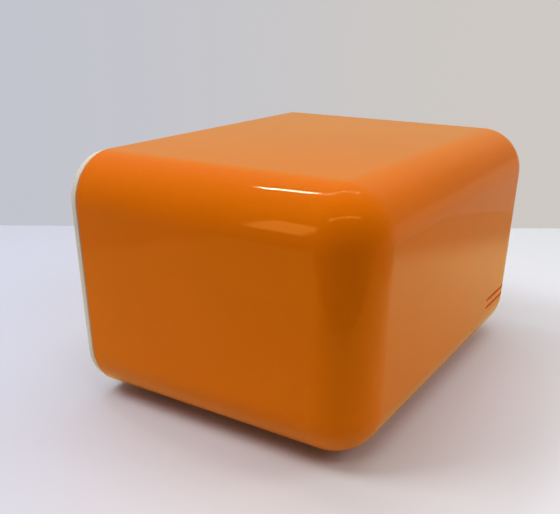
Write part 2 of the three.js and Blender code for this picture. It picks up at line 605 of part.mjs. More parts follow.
function buildBlower() {
  const { y, z, width, wall, left } = BLOWER;
  const right = left + width;
  const housing = cut(
    solid(plateYZ(scroll(wall), left, right)),
    solid(plateYZ(scroll(0), left + wall, right + 1)),
    solid(boxBetween(left + wall, right + 1, -20, 0, BLOWER.outletLow, BLOWER.outletTop)),
    solid(rodX(SCROLL.inlet, left - 1, left + wall + 1, y, z, 28)),
  );
  addPart("blower_housing", geometryOf(housing), MATERIAL.charcoal);

  const cover = cut(
    solid(plateYZ(scroll(wall), right + CLEAR, right + CLEAR + wall)),
    solid(rodX(3.4, right - 1, right + 5, y, z, 20)),
  );
  addPart("blower_cover", geometryOf(cover), MATERIAL.charcoal);

  addPart("impeller", geometryOf(fan()), MATERIAL.white);
  const discRight = right - FAN.play;
  const shaftLeft = discRight - FAN.hubLength + 1;
  addPart("impeller_shaft", rodX(SHAFT.pin, shaftLeft, right + 6, y, z, 12), MATERIAL.steel);

  const { radius, length, collar: collarRadius, tail: tailRadius } = BLOWER_MOTOR;
  const motorLeft = right + wall + 2 * CLEAR;
  const can = solid(rodX(radius, motorLeft, motorLeft + length, y, z, 28));
  const collar = solid(rodX(collarRadius, motorLeft - 1.5, motorLeft + 1, y, z, 20));
  const tail = solid(rodX(tailRadius, motorLeft + length - 1, motorLeft + length + 2, y, z, 20));
  const hole = solid(rodX(SHAFT.pin + 0.3, motorLeft - 3, motorLeft + 5, y, z, 12));
  addPart("blower_motor", geometryOf(cut(join(can, collar, tail), hole)), MATERIAL.steel);

  const { inner, wall: pipe, front, flangeY, flange: thickness, flangeLow, flangeTop } = NOZZLE;
  const flange = solid(boxBetween(left + 1, right - 0.5, flangeY, flangeY + thickness, flangeLow, flangeTop));
  const pipeOuter = solid(rodY(inner + pipe, front, flangeY + 1, WHEEL.x, NOZZLE.z, 28));
  const pipeInner = solid(rodY(inner, front - 1, flangeY + 3, WHEEL.x, NOZZLE.z, 28));
  addPart("air_nozzle", geometryOf(cut(join(flange, pipeOuter), pipeInner)), MATERIAL.white);
}

// ---- power: battery box, cells, contacts, cover ----
function buildBattery() {
  const { left, right, front, back, top, wall, cell, length } = BATTERY;
  const low = FLOOR + CLEAR;
  const box = cut(
    solid(boxBetween(left, right, front, back, low, top)),
    solid(boxBetween(left + wall, right - wall, front + wall, back - wall, low - 1, top - wall)),
  );
  addPart("battery_box", geometryOf(box), MATERIAL.charcoal);

  const plateFront = front + wall + CLEAR;
  const plateBack = back - wall - CLEAR;
  const columns = [left + wall + cell + 0.6, right - wall - cell - 0.6];
  const rows = [low + cell + 1, low + 3 * cell + 2];
  const { thickness, half } = CONTACT;
  const strap = (x0, x1, y0, z1) => {
    return boxBetween(x0 - half, x1 + half, y0, y0 + thickness, rows[0] - half, z1 + half);
  };
  const rear = plateBack - thickness;
  addPart("front_contact", strap(columns[0], columns[1], plateFront, rows[0]), MATERIAL.steel);
  addPart("rear_contact_left", strap(columns[0], columns[0], rear, rows[1]), MATERIAL.steel);
  addPart("rear_contact_right", strap(columns[1], columns[1], rear, rows[1]), MATERIAL.steel);

  const cellStart = rear - CLEAR - (length - 1);
  const springFront = plateFront + thickness + CLEAR + 0.5;
  const springBack = cellStart - CLEAR - 0.5;
  const places = columns.flatMap((x) => rows.map((z) => [x, z]));
  places.forEach(([x, z], i) => {
    addPart(`battery_${i + 1}`, cellGeometry(), MATERIAL.cell, [x, cellStart, z]);
    const spring = tube(coil(x, z, springFront, springBack), CONTACT.wire, 4, 24);
    addPart(`contact_spring_${i + 1}`, spring, MATERIAL.steel);
  });
  buildCover();
}

function cellGeometry() {
  const { cell, length } = BATTERY;
  const shoulder = length - 2.8;
  const tip = length - 1;
  const profile = [[0, 0], [9, 0], [9, 0.6], [cell - 0.2, 0.6], [cell, 1.4], [cell, length - 4],
    [cell - 1, shoulder], [3.6, shoulder], [3.6, tip], [0, tip]].map(([r, y]) => new THREE.Vector2(r, y));
  return new THREE.LatheGeometry(profile, 18);
}

// Points along a conical coil about Y.
function coil(x, z, y0, y1) {
  const { springRadius, springTaper, springTurns } = CONTACT;
  const steps = 26;
  const points = [];
  for (let i = 0; i <= steps; i++) {
    const angle = (2 * Math.PI * springTurns * i) / steps;
    const radius = springRadius - (springTaper * i) / steps;
    points.push([x + radius * Math.cos(angle), y0 + ((y1 - y0) * i) / steps, z + radius * Math.sin(angle)]);
  }
  return points;
}

function buildCover() {
  const { left, right, front, back } = BATTERY;
  const { play, low, ridgeLow, ridgeWidth, ridgePitch, ridges, ridgeLeft, ridgeRight } = COVER;
  let cover = solid(boxBetween(left + play, right - play, front + 0.5, back, low, BOTTOM - CLEAR));
  for (let i = 0; i < ridges; i++) {
    const y = back - 16 + ridgePitch * i;
    cover = cover.add(solid(boxBetween(ridgeLeft, ridgeRight, y, y + ridgeWidth, ridgeLow, low + CLEAR)));
  }
  addPart("battery_cover", geometryOf(cover), MATERIAL.orange);
}

// ---- switch and knob ----
function buildSwitch() {
  const { x, z } = KNOB;
  const { radius, depth, thread, shaft, nut: nutRadius, nutThickness } = SWITCH;
  const back = PANEL_BACK + CLEAR;
  const body = join(
    solid(rodY(radius, back, back + depth, x, z, 24)),
    solid(rodY(thread, FACE - 2.4, back + 1, x, z, 20)),
    solid(boxBetween(x - 6, x + 6, back + depth - 1, back + depth + 2, z - 1, z + 1)),
  );
  const shaftHole = solid(rodY(shaft + CLEAR, FACE - 5, back + 6, x, z, 16));
  addPart("switch_body", geometryOf(cut(body, shaftHole)), MATERIAL.charcoal);

  const hexagon = new THREE.CylinderGeometry(nutRadius, nutRadius, nutThickness, 6);
  const nut = cut(
    solid(hexagon, x, FACE - CLEAR - nutThickness / 2, z),
    solid(rodY(thread + CLEAR, FACE - 5, FACE, x, z, 20)),
  );
  addPart("switch_nut", geometryOf(nut), MATERIAL.steel);
  const shaftFront = FACE - KNOB.gap - KNOB.depth + 3;
  addPart("switch_shaft", rodY(shaft, shaftFront, back + 5.5, x, z, 16), MATERIAL.steel);
}

function buildKnob() {
  const { x, z, radius, depth, gap, skirt, wall, stem: stemRadius, bore: boreRadius } = KNOB;
  const inner = FACE - gap;
  const outer = inner - depth;
  const profile = [[0, outer], [radius - 4, outer], [radius - 2, outer + 0.6], [radius - 1, outer + 2],
    [radius - 0.4, inner - 3], [radius, inner], [radius - wall, inner], [radius - wall, inner - skirt],
    [0, inner - skirt]].map(([r, y]) => new THREE.Vector2(r, y));
  const cap = solid(new THREE.LatheGeometry(profile, 36), x, 0, z);
  const stem = solid(rodY(stemRadius, outer + 2, FACE - 3, x, z, 20));
  const bore = solid(rodY(boreRadius, outer + 2.5, FACE, x, z, 16));
  const groove = new THREE.BoxGeometry(1.6, 1.2, 10).translate(0, 0, 11).rotateY(-Math.PI / 4);
  addPart("power_knob", geometryOf(cut(join(cap, stem), bore, solid(groove, x, outer, z))), MATERIAL.orange);
}

// ---- feet and panel screws ----
function buildFeet() {
  const { height, radius, stem, barb } = FOOT;
  const profile = [[0, 0], [radius - 0.8, 0], [radius, 0.8], [radius, height - CLEAR], [stem, height - CLEAR],
    [stem, FLOOR + CLEAR], [barb, FLOOR + CLEAR], [stem, FLOOR + 2], [0, FLOOR + 2]]
    .map(([r, z]) => new THREE.Vector2(r, z));
  for (const [place, x, y] of footPlaces()) {
    const foot = new THREE.LatheGeometry(profile, 14).rotateX(Math.PI / 2);
    addPart(`foot_${place}`, foot, MATERIAL.rubber, [x, y, 0]);
  }
  for (const [place, side] of [["left", -1], ["right", 1]]) {
    const x = side * PANEL_SCREW.x;
    const head = solid(rodZ(PANEL_SCREW.head, 1, BOTTOM - CLEAR, x, PANEL_SCREW.y, 14));
    const shank = solid(rodZ(PANEL_SCREW.shank, 2, FLOOR + 9.5, x, PANEL_SCREW.y, 10));
    addPart(`panel_screw_${place}`, geometryOf(join(head, shank)), MATERIAL.steel);
  }
}

// ---- internal leads ----
function buildLeads() {
  const behindSwitch = PANEL_BACK + CLEAR + SWITCH.depth + 3;
  const boxFront = BATTERY.front - 1.5;
  const { red, black } = MATERIAL;
  const leads = [
    ["lead_battery_to_switch", red, [[46, boxFront, 56], [48, -16, 60], [51, -34, 74], [54, behindSwitch, 90]]],
    ["lead_switch_to_blower", red, [[47, behindSwitch, 90], [40, -20, 94], [20, 10, 86], [1, 36, 66]]],
    ["lead_switch_to_wheel", red, [[49, behindSwitch, 80], [36, -32, 80], [15, 4, 71], [3, 15, 62]]],
    ["lead_battery_return", black, [[20, boxFront - 1, 44], [12, -9, 42], [4, 2, 42], [0, 16, 49]]],
  ];
  for (const [name, material, route] of leads) {
    addPart(name, tube(route, LEAD_RADIUS), material);
  }
}

buildCase();
buildPanel();
buildPanelTrim();
buildWetSide();
buildWheel();
buildGearbox();
buildGears();
buildBlower();
buildBattery();
buildSwitch();
buildKnob();
buildFeet();
buildLeads();

export default root;
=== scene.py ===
"""The look of a tabletop bubble machine: a glossy orange case with a cream front panel, on a pale floor."""

import json
import math

import bmesh
import bpy
from mathutils import Matrix, Vector


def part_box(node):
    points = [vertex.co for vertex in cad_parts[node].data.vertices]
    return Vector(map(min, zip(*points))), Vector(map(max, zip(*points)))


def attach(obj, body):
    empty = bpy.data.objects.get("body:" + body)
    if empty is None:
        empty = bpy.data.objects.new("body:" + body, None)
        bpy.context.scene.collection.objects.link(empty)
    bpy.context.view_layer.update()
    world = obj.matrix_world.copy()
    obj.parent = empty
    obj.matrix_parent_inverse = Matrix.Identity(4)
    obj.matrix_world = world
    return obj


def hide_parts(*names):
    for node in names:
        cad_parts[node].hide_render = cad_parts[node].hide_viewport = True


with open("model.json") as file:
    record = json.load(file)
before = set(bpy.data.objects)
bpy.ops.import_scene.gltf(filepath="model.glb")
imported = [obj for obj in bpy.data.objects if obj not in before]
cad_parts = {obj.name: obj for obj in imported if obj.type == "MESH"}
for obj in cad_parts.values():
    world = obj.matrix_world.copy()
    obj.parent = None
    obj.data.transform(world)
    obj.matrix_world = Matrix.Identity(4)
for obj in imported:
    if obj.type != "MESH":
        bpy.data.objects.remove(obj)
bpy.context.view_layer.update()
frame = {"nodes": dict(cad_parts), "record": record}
MM = 0.001

# Boxes of the CAD nodes, read from the frame, in metres.
CASE_LOW, CASE_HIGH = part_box("case_shell")
PANEL_LOW, PANEL_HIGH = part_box("front_panel")
WHEEL_LOW, WHEEL_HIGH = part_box("wand_wheel")
KNOB_LOW, KNOB_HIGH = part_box("power_knob")
COVER_LOW, COVER_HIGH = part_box("battery_cover")
RIM_Y, BACK_Y = CASE_LOW.y, CASE_HIGH.y
BOTTOM_Z, TOP_Z = 3 * MM, CASE_HIGH.z
HALF_WIDTH = CASE_HIGH.x
HEIGHT = TOP_Z - BOTTOM_Z
MIDDLE_Z = (TOP_Z + BOTTOM_Z) / 2
FACE_Y = PANEL_LOW.y
WHEEL_X = (WHEEL_LOW.x + WHEEL_HIGH.x) / 2
WHEEL_Z = (WHEEL_LOW.z + WHEEL_HIGH.z) / 2
KNOB_X = (KNOB_LOW.x + KNOB_HIGH.x) / 2
KNOB_Z = (KNOB_LOW.z + KNOB_HIGH.z) / 2

# Driving sizes repeated from the design, in metres.
CORNER = 22 * MM
WALL = 2.8 * MM
MARK_LEFT, MARK_RIGHT = -81 * MM, -52 * MM
MARK_HEIGHTS = (27 * MM, 31.5 * MM)
PANEL_GAP = 1.4 * MM
WINDOW_HOLE, KNOB_HOLE = 40.5 * MM, 4.8 * MM
POST_RADIUS, POST_ROOT, POST_END = 4 * MM, 2.5 * MM, -37.3 * MM
POST_PLACES = ((-86, 97), (-86, 17), (6, 97), (6, 17))
KNOB_RADIUS = 18 * MM
WAND_COUNT, WAND_PITCH = 8, 28 * MM
WAND_OUTER, WAND_INNER = 9.5 * MM, 7.4 * MM
WAND_FRONT, WAND_BACK = -53.7 * MM, -48.5 * MM
TROUGH_OUTER, TROUGH_INNER = 43 * MM, 41 * MM
HOOD_OUTER, HOOD_INNER = 42.5 * MM, 41 * MM
NOZZLE_Z = 85 * MM
CELL_RADIUS = 13 * MM

# Small distances: off the axis where a turned piece closes, off a face that a piece would lie in, and the least
# radius of a shrinking corner.
ON_AXIS = 0.02 * MM
HAIR = 0.05 * MM
LEAST_CORNER = 0.4 * MM

# The camera stands off the middle of the case by so many case heights.
CAMERA_OFFSET = (2.783, 1.495, 0.985)
CAMERA_AZIMUTH = math.radians(122.27)
CAMERA_ELEVATION = math.radians(26.25)
CAMERA_ROLL = math.radians(0.324)
CAMERA_LENS, CAMERA_SENSOR = 46.18, 36
CAMERA_SHIFT_X, CAMERA_SHIFT_Y = 0.0041, 0.194
CAMERA_RIGHT = (math.cos(CAMERA_AZIMUTH), math.sin(CAMERA_AZIMUTH), 0)
TOWARDS_CAMERA = (math.sin(CAMERA_AZIMUTH), -math.cos(CAMERA_AZIMUTH), 0)
UP = (0, 0, 1)

# The stage: the table, the tones of the room, and the light tubes under its ceiling, in metres.
TABLE_WIDTH, TABLE_DEPTH, TABLE_THICKNESS = 0.70, 0.53, 20 * MM
WALL_COOL = (0.545, 0.555, 0.615)
WALL_WARM = (0.615, 0.580, 0.545)
WALL_SIDES = (0.50, 0.42, 0.28)
CEILING = (0.78, 0.73, 0.38)
HORIZON = (0.01, 0.12)
CEILING_HEIGHT = 1.0
LINE_ENDS = (((0.02, -0.543), (-0.019, -0.516)), ((-0.012, -0.503), (-0.046, -0.475)),
             ((-0.04, -0.463), (-0.09, -0.436)))
LIT_CENTRE = Vector((0, 0, 0.06))
LIT_CORNER = Vector((0.09, 0.05, 0.11))

COLOUR = {
    "orange": (0.76, 0.162, 0.001),
    "orange_deep": (0.62, 0.130, 0.002),
    "cream": (0.72, 0.67, 0.56),
    "charcoal": (0.022, 0.021, 0.020),
    "nylon": (0.72, 0.69, 0.60),
    "rubber": (0.012, 0.012, 0.012),
    "steel": (0.60, 0.60, 0.60),
    "brass": (0.66, 0.47, 0.19),
    "jacket": (0.015, 0.055, 0.26),
    "red": (0.42, 0.012, 0.008),
    "black": (0.010, 0.010, 0.010),
    "floor_left": (0.64, 0.67, 0.84),
    "floor_middle": (0.67, 0.66, 0.69),
    # Painted light: the table top is painted lighter towards the camera's right.
    "floor_right_painted_lit": (0.79, 0.83, 0.935),
    # Painted reflections: these two tones are seen only by glossy rays, a warm tone and a dimmer one far to the
    # right.
    "floor_reflection_painted_dim": (0.45, 0.355, 0.18),
    "floor_reflection_painted_warm": (0.79, 0.74, 0.36),
}


# ---------------------------------------------------------------- materials

class Graph:
    """Adds nodes to a shader tree and links them."""

    def __init__(self, tree):
        self.tree = tree

    def add(self, kind, operation=None):
        node = self.tree.nodes.new(kind)
        if operation:
            node.operation = operation
        return node

    def link(self, output, target):
        self.tree.links.new(output, target)

    def multiply(self, first, second):
        node = self.add("ShaderNodeMath", "MULTIPLY")
        self.link(first, node.inputs[0])
        self.link(second, node.inputs[1])
        return node.outputs[0]

    def mix(self, factor, first, second):
        """A colour mix, where each side is a colour or a socket."""
        node = self.add("ShaderNodeMix")
        node.data_type = "RGBA"
        self.link(factor, node.inputs["Factor"])
        for value, socket in ((first, node.inputs[6]), (second, node.inputs[7])):
            if isinstance(value, tuple):
                socket.default_value = (*value, 1)
            else:
                self.link(value, socket)
        return node.outputs[2]

    def along(self, vector, axis, low, high, start=0, end=1):
        """Runs smoothly from start to end while the vector's reach along an axis goes from low to high."""
        reach = self.add("ShaderNodeVectorMath", "DOT_PRODUCT")
        reach.inputs[1].default_value = axis
        self.link(vector, reach.inputs[0])
        spread = self.add("ShaderNodeMapRange")
        spread.interpolation_type = "SMOOTHSTEP"
        for key, value in (("From Min", low), ("From Max", high), ("To Min", start), ("To Max", end)):
            spread.inputs[key].default_value = value
        self.link(reach.outputs["Value"], spread.inputs["Value"])
        return spread.outputs["Result"]


class Surface(Graph):
    """A new material, with the procedural patterns that the surfaces share."""

    def __init__(self, name):
        self.material = bpy.data.materials.new(name)
        self.material.use_nodes = True
        super().__init__(self.material.node_tree)
        self.shader = self.tree.nodes["Principled BSDF"]
        self.position = self.add("ShaderNodeTexCoord").outputs["Object"]

    def noise(self, scale, detail=3.0, roughness=0.5, stretch=(1, 1, 1)):
        mapping = self.add("ShaderNodeMapping")
        mapping.inputs["Scale"].default_value = stretch
        self.link(self.position, mapping.inputs["Vector"])
        node = self.add("ShaderNodeTexNoise")
        node.inputs["Scale"].default_value = scale
        node.inputs["Detail"].default_value = detail
        node.inputs["Roughness"].default_value = roughness
        self.link(mapping.outputs["Vector"], node.inputs["Vector"])
        return node.outputs["Fac"]

    def spots(self, scale, size):
        """1 inside small round spots, spread thinly, and 0 elsewhere."""
        cells = self.add("ShaderNodeTexVoronoi")
        cells.inputs["Scale"].default_value = scale
        self.link(self.position, cells.inputs["Vector"])
        return self.ramp(cells.outputs["Distance"], [(size * 0.6, 1.0), (size, 0.0)])

    def ramp(self, factor, stops):
        """A grey ramp through (position, value) stops."""
        node = self.add("ShaderNodeValToRGB")
        elements = node.color_ramp.elements
        while len(elements) < len(stops):
            elements.new(0.5)
        for element, (place, value) in zip(elements, stops):
            element.position = place
            element.color = (value, value, value, 1)
        self.link(factor, node.inputs["Fac"])
        return node.outputs["Color"]

    def colour(self, factor, first, second):
        self.link(self.mix(factor, first, second), self.shader.inputs["Base Color"])

    def roughness(self, factor, low, high):
        spread = self.add("ShaderNodeMapRange")
        spread.inputs["To Min"].default_value = low
        spread.inputs["To Max"].default_value = high
        self.link(factor, spread.inputs["Value"])
        self.link(spread.outputs["Result"], self.shader.inputs["Roughness"])

    def bump(self, heights):
        """Bump from (height socket, strength, distance) layers, added one on another."""
        normal = None
        for height, strength, distance in heights:
            node = self.add("ShaderNodeBump")
            node.inputs["Strength"].default_value = strength
            node.inputs["Distance"].default_value = distance
            self.link(height, node.inputs["Height"])
            if normal is not None:
                self.link(normal, node.inputs["Normal"])
            normal = node.outputs["Normal"]
        self.link(normal, self.shader.inputs["Normal"])


def scaled(colour, factor):
    return tuple(min(1.0, c * factor) for c in colour)


def gloss_plastic(name, colour, roughness, tint=(1, 1, 1), wear=0.5):
    """Moulded gloss plastic: faint flow clouding, polishing haze, hairline scratches and a little dust.

    tint colours the head-on reflection, and leaves the grazing one white."""
    n = Surface(name)
    cloud = n.ramp(n.noise(14, 4, 0.6), [(0.3, 0.0), (0.7, 1.0)])
    clouded = n.mix(cloud, scaled(colour, 0.955), scaled(colour, 1.03))
    dusty_areas = n.ramp(n.noise(30, 1), [(0.62, 0.0), (0.66, 1.0)])
    specks = n.multiply(n.spots(150, 0.045), dusty_areas)
    n.colour(specks, clouded, scaled(colour, 0.25))
    haze = n.noise(45, 6, 0.7)
    n.roughness(haze, roughness * (1 - 0.25 * wear), roughness * (1 + 0.45 * wear))
    n.shader.inputs["IOR"].default_value = 1.4
    n.shader.inputs["Specular Tint"].default_value = (*tint, 1)
    hairlines = n.noise(260, 2, 0.5, (1, 0.06, 1))
    waves = n.noise(9, 1)
    n.bump([(waves, 0.35, 0.0006), (hairlines, 0.06 * wear, 0.00004)])
    return n.material


def grained_plastic(name, colour, roughness=0.5, grain=1400):
    """Spark-eroded matt plastic with a fine even grain and slightly polished high places."""
    n = Surface(name)
    fine = n.noise(grain, 2, 0.6)
    broad = n.noise(25, 3)
    n.colour(broad, scaled(colour, 0.85), scaled(colour, 1.2))
    n.roughness(broad, roughness * 0.85, roughness * 1.15)
    n.bump([(fine, 0.35, 0.00012)])
    return n.material


def soft_rubber(name, colour):
    """Black rubber with a dusty bloom."""
    n = Surface(name)
    n.colour(n.noise(220, 5, 0.7), colour, scaled(colour, 3.0))
    n.shader.inputs["Roughness"].default_value = 0.8
    n.shader.inputs["Specular IOR Level"].default_value = 0.35
    n.bump([(n.noise(900, 3), 0.4, 0.0002)])
    return n.material


def turned_metal(name, colour, roughness):
    """Plated or turned metal with tool lines and faint staining."""
    n = Surface(name)
    lines = n.noise(700, 3, 0.6)
    stain = n.noise(60, 4)
    n.colour(stain, scaled(colour, 0.82), scaled(colour, 1.1))
    n.shader.inputs["Metallic"].default_value = 1.0
    n.roughness(lines, roughness * 0.75, roughness * 1.4)
    n.bump([(lines, 0.15, 0.00005)])
    return n.material


def sleeve(name, colour):
    """The soft PVC sleeve of a lead."""
    n = Surface(name)
    n.colour(n.noise(300, 3), scaled(colour, 0.8), scaled(colour, 1.25))
    n.shader.inputs["Roughness"].default_value = 0.42
    n.bump([(n.noise(1200, 2), 0.15, 0.00005)])
    return n.material


def floor_material():
    """A pale, smooth table top, cooler on the camera's left and painted lighter towards its right: painted
    light.

    The gloss of the case sees it warmer, and dimmer far to the right: a painted reflection that only glossy
    rays see."""
    n = Surface("pale_floor")
    tone_with_painted_light = n.mix(n.along(n.position, CAMERA_RIGHT, -0.22, 0.0), COLOUR["floor_left"], COLOUR["floor_middle"])
    # Painted light: lighter towards the camera's right.
    tone_with_painted_light = n.mix(n.along(n.position, CAMERA_RIGHT, 0.0, 0.16), tone_with_painted_light, COLOUR["floor_right_painted_lit"])
    # Painted reflection: glossy rays see a warm tone, dimmer far to the right, instead of the table's own
    # colour.
    far_right = n.along(n.position, CAMERA_RIGHT, 0.23, 0.29)
    painted_reflection_tone = n.mix(far_right, COLOUR["floor_reflection_painted_warm"], COLOUR["floor_reflection_painted_dim"])
    tone_with_painted_light = n.mix(n.add("ShaderNodeLightPath").outputs["Is Glossy Ray"], tone_with_painted_light, painted_reflection_tone)
    cloud = n.ramp(n.noise(3, 3), [(0.0, 0.0), (1.0, 0.06)])
    n.colour(cloud, tone_with_painted_light, COLOUR["floor_middle"])
    n.shader.inputs["Roughness"].default_value = 0.45
    n.shader.inputs["Specular IOR Level"].default_value = 0.15
    return n.material


MATERIAL = {
    "orange_shell": gloss_plastic("orange_gloss", COLOUR["orange"], 0.055, (1.0, 0.5, 0.08)),
    "orange_moving": gloss_plastic("orange_fittings", COLOUR["orange_deep"], 0.2, (1.0, 0.5, 0.1), wear=1.0),
    "cream_panel": gloss_plastic("cream_gloss", COLOUR["cream"], 0.2, wear=0.7),
    "charcoal_plastic": grained_plastic("charcoal_grain", COLOUR["charcoal"], 0.5),
    "white_plastic": grained_plastic("natural_nylon", COLOUR["nylon"], 0.42, 900),
    "rubber_black": soft_rubber("foot_rubber", COLOUR["rubber"]),
    "steel": turned_metal("plated_steel", COLOUR["steel"], 0.28),
    "brass": turned_metal("turned_brass", COLOUR["brass"], 0.3),
    "cell_jacket": gloss_plastic("cell_sleeve", COLOUR["jacket"], 0.25, wear=0.8),
    "lead_red": sleeve("lead_sleeve_red", COLOUR["red"]),
    "lead_black": sleeve("lead_sleeve_black", COLOUR["black"]),
}


# ---------------------------------------------------------------- mesh helpers

def mesh_object(name, verts, faces, material):
    """A mesh whose faces all point outwards."""
    mesh = bpy.data.meshes.new(name)
    mesh.from_pydata([tuple(v) for v in verts], [], faces)
    obj = bpy.data.objects.new(name, mesh)
    bpy.context.scene.collection.objects.link(obj)
    work = bmesh.new()
    work.from_mesh(mesh)
    bmesh.ops.remove_doubles(work, verts=work.verts, dist=1e-7)
    bmesh.ops.recalc_face_normals(work, faces=work.faces)
    work.to_mesh(mesh)
    work.free()
    mesh.materials.append(material)
    return obj


def shade(obj, angle=35):
    """Smooth shading with hard edges over the angle, and flat faces kept flat."""
    for polygon in obj.data.polygons:
        polygon.use_smooth = True
    obj.data.set_sharp_from_angle(angle=math.radians(angle))
    weighted = obj.modifiers.new("flat_faces", "WEIGHTED_NORMAL")
    weighted.keep_sharp = True
    weighted.weight = 60
    return obj


def place(obj, body, *nodes, slot=None, angle=35):
    """Rides on a body, stands for CAD nodes, and is shaded."""
    shade(obj, angle)
    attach(obj, body)
    if nodes:
        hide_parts(*nodes)
    return obj


def soften(obj, width=0.4 * MM, segments=3, angle=30):
    """Rounds the edges sharper than the angle."""
    bevel = obj.modifiers.new("soft_edges", "BEVEL")
    bevel.width = width
    bevel.segments = segments
    bevel.limit_method = "ANGLE"
    bevel.angle_limit = math.radians(angle)
    bevel.harden_normals = False
    return obj


def apply_modifiers(obj):
    depsgraph = bpy.context.evaluated_depsgraph_get()
    mesh = bpy.data.meshes.new_from_object(obj.evaluated_get(depsgraph))
    obj.modifiers.clear()
    obj.data = mesh
    return obj


def combine(target, cutter, operation):
    """Joins a solid to the target, or cuts it away, and removes the tool solid."""
    boolean = target.modifiers.new("combine", "BOOLEAN")
    boolean.operation = operation
    boolean.solver = "EXACT"
    boolean.object = cutter
    bpy.context.view_layer.update()
    apply_modifiers(target)
    bpy.data.objects.remove(cutter)
    return target


def cut(target, *cutters):
    for cutter in cutters:
        combine(target, cutter, "DIFFERENCE")
    return target


def join(target, *others):
    for other in others:
        combine(target, other, "UNION")
    return target


def rounded_outline(width, height, radius, steps=16):
    """Points (x, z) round a rounded rectangle about the origin."""
    points = []
    for corner, (sx, sz) in enumerate([(1, -1), (1, 1), (-1, 1), (-1, -1)]):
        for i in range(steps + 1):
            angle = math.radians(-90 + 90 * corner + 90 * i / steps)
            points.append((sx * (width / 2 - radius) + radius * math.cos(angle),
                           sz * (height / 2 - radius) + radius * math.sin(angle)))
    return points


def loft(name, rings, material):
    """A closed solid through rings of equal length, with its first and last ring capped."""
    count = len(rings[0])
    verts = [point for ring in rings for point in ring]
    faces = []
    for k in range(len(rings) - 1):
        for i in range(count):
            j = (i + 1) % count
            faces.append((k * count + i, k * count + j, (k + 1) * count + j, (k + 1) * count + i))
    faces.append(tuple(range(count)))
    faces.append(tuple(range((len(rings) - 1) * count, len(rings) * count)))
    return mesh_object(name, verts, faces, material)


def extruded(name, outline, y0, y1, material, centre=(0, 0)):
    """An (x, z) outline given thickness along Y."""
    rings = [[(centre[0] + x, y, centre[1] + z) for x, z in outline] for y in (y0, y1)]
    return loft(name, rings, material)


def filleted(points, radius, steps=5):
    """A closed polygon with its corners rounded by arcs of the radius, or less where a side is short."""
    rounded = []
    count = len(points)
    for i in range(count):
        here = Vector(points[i])
        before = Vector(points[i - 1]) - here
        after = Vector(points[(i + 1) % count]) - here
        reach = min(radius, before.length * 0.45, after.length * 0.45)
        start = here + before.normalized() * reach
        end = here + after.normalized() * reach
        for k in range(steps + 1):
            t = k / steps
            point = start * (1 - t) ** 2 + here * 2 * t * (1 - t) + end * t ** 2
            rounded.append((point.x, point.y))
    return rounded


def turned(name, profile, centre, material, sides=96, ripple=None, axis="Y"):
    """A closed (radius, distance) profile turned about an axis through the centre.

    ripple(angle, radius, distance) adds to the radius.
    """
    verts = []
    for s in range(sides):
        angle = 2 * math.pi * s / sides
        for radius, distance in profile:
            r = radius + (ripple(angle, radius, distance) if ripple else 0)
            u, v = r * math.cos(angle), r * math.sin(angle)
            point = {"Y": (u, distance, v), "Z": (u, v, distance), "X": (distance, u, v)}[axis]
            verts.append(tuple(a + b for a, b in zip(point, centre)))
    count = len(profile)
    faces = []
    for s in range(sides):
        t = (s + 1) % sides
        for i in range(count):
            j = (i + 1) % count
            faces.append((s * count + i, s * count + j, t * count + j, t * count + i))
    return mesh_object(name, verts, faces, material)


def disc_solid(profile):
    """Closes an open profile down to a hair off the axis, for a turned piece with no bore."""
    return [(ON_AXIS, profile[0][1]), *profile, (ON_AXIS, profile[-1][1])]


def block(name, low, high, material):
    """A box between two corners, to be cut, joined or softened."""
    outline = [(low[0], low[2]), (high[0], low[2]), (high[0], high[2]), (low[0], high[2])]
    return extruded(name, outline, low[1], high[1], material)


def rod(name, radius, start, length, axis, material, sides=64):
    """A plain cylinder from a point along an axis, used as a cutter or joined into a piece."""
    profile = disc_solid([(radius, 0), (radius, length)])
    return turned(name, profile, start, material, sides=sides, axis=axis)


# ---------------------------------------------------------------- case

def case_ring(inset, y, corner, width, height):
    outline = rounded_outline(width - 2 * inset, height - 2 * inset, max(corner - inset, LEAST_CORNER), 20)
    return [(x, y, MIDDLE_Z + z) for x, z in outline]


def back_rounding(corner, back, width, height, steps=20):
    """Rings from the straight walls round onto the flat back."""
    rings = []
    for k in range(steps + 1):
        angle = math.radians(90 * k / steps)
        inset = (corner - LEAST_CORNER) * (1 - math.cos(angle))
        rings.append(case_ring(inset, back - corner + corner * math.sin(angle), corner, width, height))
    return rings


def case_skin():
    """The closed skin of the shell: round the back, along the walls, over the rim and along the inside."""
    width, height = 2 * HALF_WIDTH, HEIGHT
    lip = 0.5 * MM
    flat = WALL - 2 * lip
    straight = BACK_Y - CORNER - RIM_Y
    outer = back_rounding(CORNER, BACK_Y, width, height)[::-1]
    walls = [case_ring(0, RIM_Y + part * straight, CORNER, width, height) for part in (0.75, 0.4, 0.1)]
    rim = []
    for k in range(9):
        angle = math.pi * k / 8
        inset = lip * (1 - math.cos(angle)) + (flat if k > 4 else 0)
        rim.append(case_ring(inset, RIM_Y + lip - lip * math.sin(angle), CORNER, width, height))
    inner = back_rounding(CORNER - WALL, BACK_Y - WALL, width - 2 * WALL, height - 2 * WALL)
    return loft("case_skin", outer + walls + rim + inner, MATERIAL["orange_shell"])


